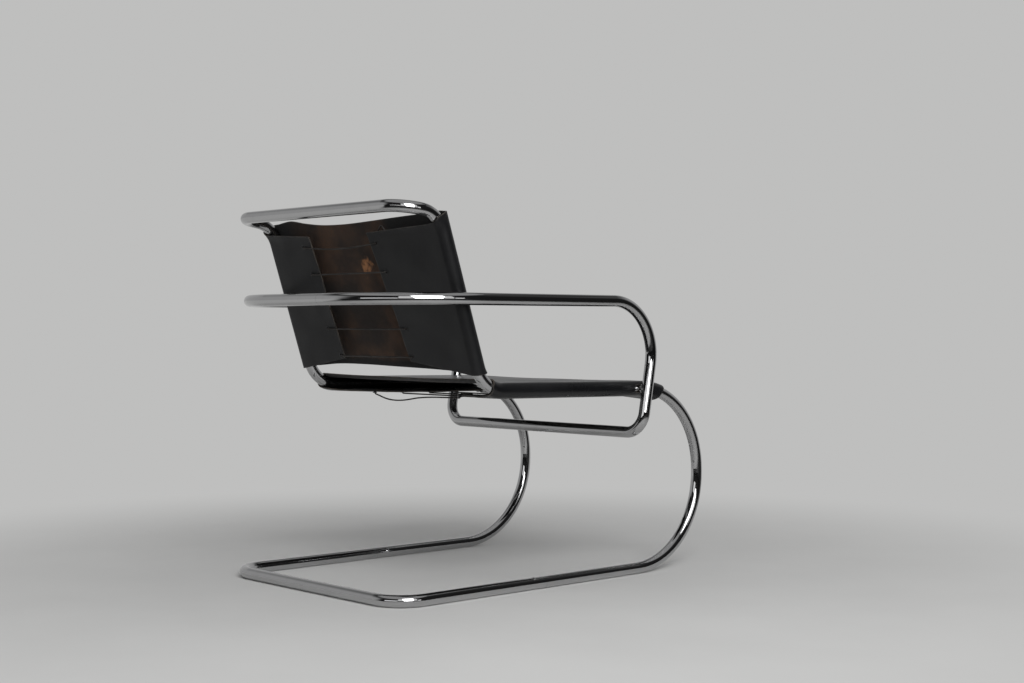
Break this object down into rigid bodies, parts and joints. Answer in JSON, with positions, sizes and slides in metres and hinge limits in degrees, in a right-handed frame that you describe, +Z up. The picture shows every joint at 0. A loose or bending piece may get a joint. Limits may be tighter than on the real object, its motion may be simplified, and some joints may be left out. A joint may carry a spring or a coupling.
{
  "type": "cantilever chair",
  "caption": "Cantilever armchair in bent chromed tube with laced leather seat and back slings and looped tube arms.",
  "frame": {"origin": "middle of the floor footprint, at floor level", "axes": "+Z up, the sitter faces -Y, +X is the sitter's left"},
  "size_m": [0.6662, 0.9254, 0.7882],
  "materials": {
    "tube_chrome": "polished chrome plate on bent steel tube",
    "hardware_chrome": "bright plated screws, bolts, spacers and saddle washers",
    "insert_steel": "plain turned steel, hidden in the tubes",
    "sling_leather": "black grain leather, raw brown on its inner side",
    "lace_leather": "round black lace",
    "eyelet_metal": "blackened rolled eyelets"
  },
  "bodies": {
    "root": {"frame_base_tube": "tube_chrome", "frame_upper_tube": "tube_chrome", "arm_tube_right": "tube_chrome", "arm_tube_left": "tube_chrome", "runner_spigot_right": "insert_steel", "runner_spigot_left": "insert_steel", "arm_plug_rear": "insert_steel", "arm_plug_front": "insert_steel", "arm_insert_right": "insert_steel", "arm_insert_left": "insert_steel", "runner_screw_right": "hardware_chrome", "runner_screw_left": "hardware_chrome", "arm_spacer_right": "hardware_chrome", "arm_spacer_left": "hardware_chrome", "arm_washer_right": "hardware_chrome", "arm_washer_left": "hardware_chrome", "arm_bolt_right": "hardware_chrome", "arm_bolt_left": "hardware_chrome", "seat_sling": "sling_leather", "back_sling": "sling_leather", "back_lace": "lace_leather", "seat_lace": "lace_leather", "back_eyelets_right": "eyelet_metal", "back_eyelets_left": "eyelet_metal", "seat_eyelets_right": "eyelet_metal", "seat_eyelets_left": "eyelet_metal"}
  },
  "joints": []
}
